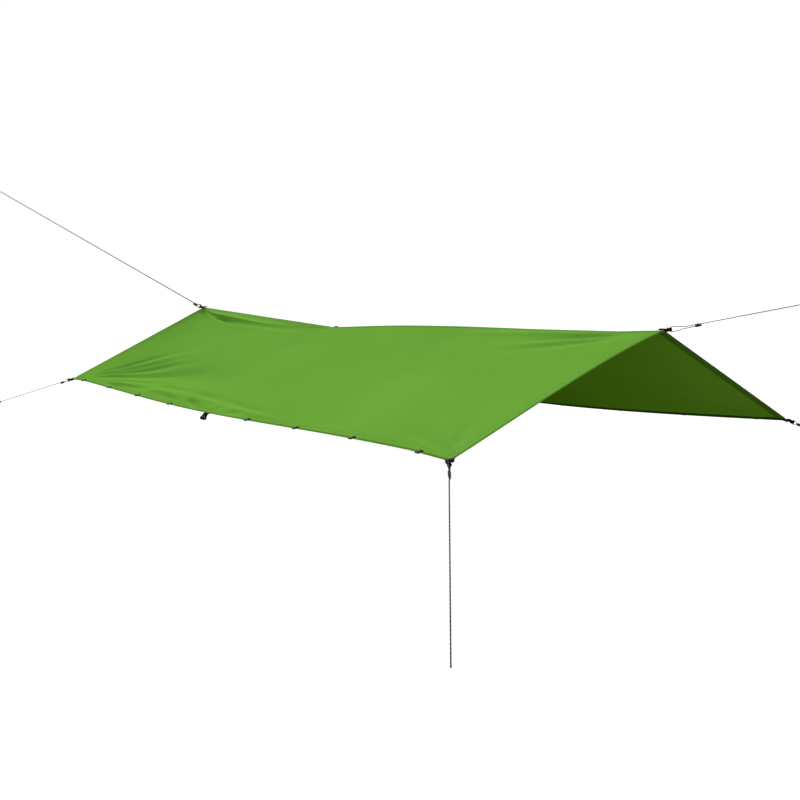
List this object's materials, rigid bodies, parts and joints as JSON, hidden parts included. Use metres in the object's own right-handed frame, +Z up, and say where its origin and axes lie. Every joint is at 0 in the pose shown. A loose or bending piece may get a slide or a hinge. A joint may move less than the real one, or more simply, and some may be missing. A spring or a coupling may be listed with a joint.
{
  "type": "tarp shelter",
  "caption": "Low ridge-pitched rectangular tarp shelter of green ripstop cloth with black webbing tie-outs, edge loops, guylines and sliding line tensioners.",
  "frame": {"origin": "centre of the eye of the near ridge tie-out, from which the canopy is held", "axes": "+X along the ridge towards the near end, +Y from the ridge towards the back eave, +Z up"},
  "size_m": [4.0586, 1.8725, 1.1387],
  "materials": {
    "cloth": "bright green coated ripstop, slightly translucent, dark olive from inside",
    "hem": "the same cloth, doubled and stitched",
    "webbing": "black ribbed webbing and tape",
    "cord": "black braided cord with pale flecks",
    "tensioner": "moulded black plastic"
  },
  "bodies": {
    "canopy": {"front_panel": "cloth", "back_panel": "cloth", "ridge_seam": "hem", "front_hem": "hem", "back_hem": "hem", "near_hem_front": "hem", "near_hem_back": "hem", "far_hem_front": "hem", "far_hem_back": "hem", "near_ridge_strap": "webbing", "far_ridge_strap": "webbing", "front_near_strap": "webbing", "front_far_strap": "webbing", "back_near_strap": "webbing", "back_far_strap": "webbing", "front_mid_strap": "webbing", "back_mid_strap": "webbing", "front_edge_loops": "webbing", "back_edge_loops": "webbing"},
    "near_ridge_guyline": {"near_ridge_line": "cord", "near_ridge_return": "cord", "near_ridge_end": "cord"},
    "near_ridge_adjuster": {"near_ridge_tensioner": "tensioner"},
    "far_ridge_guyline": {"far_ridge_line": "cord", "far_ridge_return": "cord", "far_ridge_end": "cord"},
    "far_ridge_adjuster": {"far_ridge_tensioner": "tensioner"},
    "front_near_guyline": {"front_near_line": "cord", "front_near_return": "cord", "front_near_end": "cord"},
    "front_near_adjuster": {"front_near_tensioner": "tensioner"},
    "front_far_guyline": {"front_far_line": "cord", "front_far_return": "cord", "front_far_end": "cord"},
    "front_far_adjuster": {"front_far_tensioner": "tensioner"},
    "back_near_guyline": {"back_near_line": "cord", "back_near_return": "cord", "back_near_end": "cord"},
    "back_near_adjuster": {"back_near_tensioner": "tensioner"}
  },
  "joints": [
    {"name": "near_ridge_line_swing", "type": "hinge", "parent": "canopy", "child": "near_ridge_guyline", "pos_m": [0, 0, 0], "axis": [-0.2007, 0, 0.9797], "range_deg": [-45, 45]},
    {"name": "near_ridge_tensioner_slide", "type": "slide", "parent": "near_ridge_guyline", "child": "near_ridge_adjuster", "axis": [0.9797, 0, 0.2007], "range_m": [-0.01, 0.12], "deforming": ["near_ridge_return"]},
    {"name": "far_ridge_line_swing", "type": "hinge", "parent": "canopy", "child": "far_ridge_guyline", "pos_m": [-2.43489, -0.00623, 0.008], "axis": [0.3767, 0.1389, 0.9159], "range_deg": [-45, 45]},
    {"name": "far_ridge_tensioner_slide", "type": "slide", "parent": "far_ridge_guyline", "child": "far_ridge_adjuster", "axis": [-0.8593, -0.3169, 0.4015], "range_m": [0, 0.15], "deforming": ["far_ridge_return"]},
    {"name": "front_near_line_swing", "type": "hinge", "parent": "canopy", "child": "front_near_guyline", "pos_m": [-0.04425, -0.75687, -0.26952], "axis": [0.1896, -0.5247, 0.8299], "range_deg": [-45, 45]},
    {"name": "front_near_tensioner_slide", "type": "slide", "parent": "front_near_guyline", "child": "front_near_adjuster", "axis": [0.6245, -0.5878, -0.5143], "range_m": [0, 0.15], "deforming": ["front_near_return"]},
    {"name": "front_far_line_swing", "type": "hinge", "parent": "canopy", "child": "front_far_guyline", "pos_m": [-2.43379, -0.62352, -0.28025], "axis": [-0.0873, -0.4276, 0.8997], "range_deg": [-45, 45]},
    {"name": "front_far_tensioner_slide", "type": "slide", "parent": "front_far_guyline", "child": "front_far_adjuster", "axis": [-0.8745, -0.3997, -0.2748], "range_m": [-0.008, 0.12], "deforming": ["front_far_return"]},
    {"name": "back_near_line_swing", "type": "hinge", "parent": "canopy", "child": "back_near_guyline", "pos_m": [-0.00989, 0.70284, -0.31417], "axis": [-0.0564, 0.3721, 0.9265], "range_deg": [-45, 45]},
    {"name": "back_near_tensioner_slide", "type": "slide", "parent": "back_near_guyline", "child": "back_near_adjuster", "axis": [0.4491, 0.8382, -0.3094], "range_m": [0, 0.03], "deforming": ["back_near_return"]}
  ]
}
